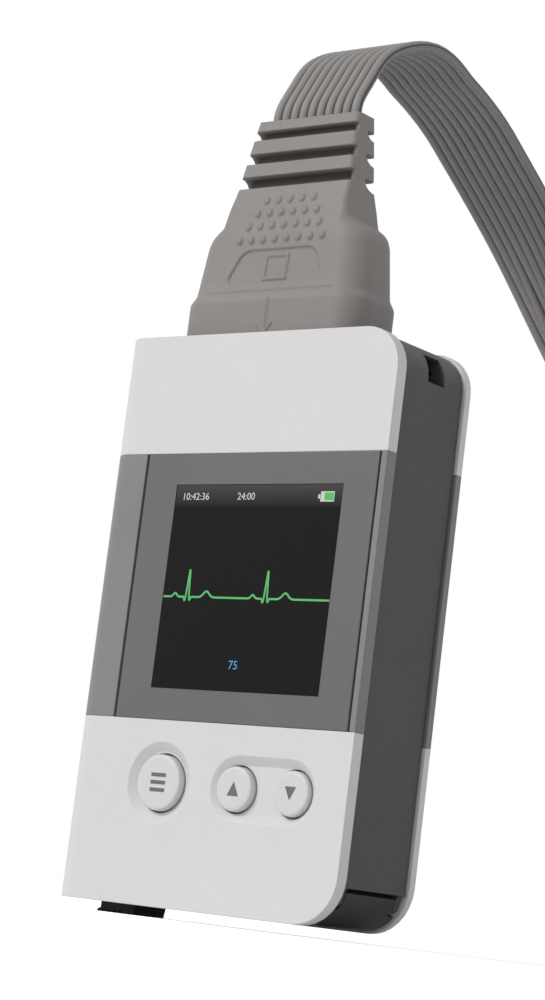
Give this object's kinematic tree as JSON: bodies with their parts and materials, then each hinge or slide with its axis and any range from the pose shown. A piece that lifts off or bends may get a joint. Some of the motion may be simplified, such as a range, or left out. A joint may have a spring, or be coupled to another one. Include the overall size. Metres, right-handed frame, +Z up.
{
  "type": "holter monitor",
  "caption": "Palm-size ambulatory ECG recorder standing upright, with display, keys, hinged battery door, latch, and a plugged-in patient cable that arches back to a tied coil.",
  "frame": {"origin": "middle of the recorder's plan at the floor that its latch stands on", "axes": "+X to the display's right, +Y to the back, where the cable goes, +Z up along the recorder"},
  "size_m": [0.0603, 0.2306, 0.1601],
  "materials": {
    "cover_white": "fine matt",
    "band_grey": "fine matt",
    "window_grey": "smooth satin",
    "display_glass": "smooth",
    "tray_white": "matt",
    "sheet_steel": "satin",
    "core_black": "fine matt",
    "pin_steel": "satin",
    "board_green": "solder mask",
    "can_steel": "tinned",
    "chip_black": "matt",
    "socket_steel": "satin",
    "card_black": "smooth",
    "key_white": "fine matt",
    "switch_steel": "satin",
    "cell_grey": "satin sleeve",
    "contact_nickel": "nickel plated",
    "door_black": "fine matt",
    "latch_black": "matt",
    "socket_black": "matt",
    "insert_black": "matt",
    "plug_grey": "soft matt",
    "cable_grey": "soft matt",
    "tie_black": "smooth",
    "screw_steel": "zinc plated",
    "snap_grey": "soft matt"
  },
  "bodies": {
    "recorder": {"upper_cover": "cover_white", "lower_cover": "cover_white", "middle_band": "band_grey", "display_window": "window_grey", "display_panel": "display_glass", "backlight_tray": "tray_white", "display_frame": "sheet_steel", "core_housing": "core_black", "lanyard_bar": "pin_steel", "main_board": "board_green", "front_end_shield": "can_steel", "processor": "chip_black", "card_socket": "socket_steel", "memory_card": "card_black", "menu_switch": "switch_steel", "up_switch": "switch_steel", "down_switch": "switch_steel", "battery_cell": "cell_grey", "battery_spring": "contact_nickel", "battery_plate": "contact_nickel", "door_hinge_pin": "pin_steel", "patient_socket": "socket_black", "plug_insert": "insert_black", "plug_overmould": "plug_grey", "ribbon_cable": "cable_grey", "lead_coil": "cable_grey", "cable_tie": "tie_black", "board_screw_1": "screw_steel", "board_screw_2": "screw_steel", "board_screw_3": "screw_steel", "board_screw_4": "screw_steel", "lead_tail_1": "cable_grey", "lead_tail_2": "cable_grey", "lead_tail_3": "cable_grey", "lead_tail_4": "cable_grey", "lead_tail_5": "cable_grey", "lead_tail_6": "cable_grey", "lead_tail_7": "cable_grey", "lead_tail_8": "cable_grey", "lead_tail_9": "cable_grey", "lead_tail_10": "cable_grey", "lead_snap_1": "snap_grey", "lead_snap_2": "snap_grey", "lead_snap_3": "snap_grey", "lead_snap_4": "snap_grey", "lead_snap_5": "snap_grey", "lead_snap_6": "snap_grey", "lead_snap_7": "snap_grey", "lead_snap_8": "snap_grey", "lead_snap_9": "snap_grey", "lead_snap_10": "snap_grey"},
    "door": {"battery_door": "door_black"},
    "latch": {"door_latch": "latch_black"},
    "menu_button": {"menu_key": "key_white"},
    "up_button": {"up_key": "key_white"},
    "down_button": {"down_key": "key_white"}
  },
  "joints": [
    {"name": "battery_door_hinge", "type": "hinge", "parent": "recorder", "child": "door", "pos_m": [0.02715, 0.0002, 0.0072], "axis": [0, -1, 0], "range_deg": [0, 88]},
    {"name": "door_latch_slide", "type": "slide", "parent": "door", "child": "latch", "axis": [-1, 0, 0], "range_m": [0, 0.0016]},
    {"name": "menu_key_press", "type": "slide", "parent": "recorder", "child": "menu_button", "axis": [0, 1, 0], "range_m": [0, 0.0005], "stiffness_N_per_m": 2000, "springref_m": -0.0002},
    {"name": "up_key_press", "type": "slide", "parent": "recorder", "child": "up_button", "axis": [0, 1, 0], "range_m": [0, 0.0005], "stiffness_N_per_m": 2000, "springref_m": -0.0002},
    {"name": "down_key_press", "type": "slide", "parent": "recorder", "child": "down_button", "axis": [0, 1, 0], "range_m": [0, 0.0005], "stiffness_N_per_m": 2000, "springref_m": -0.0002}
  ]
}
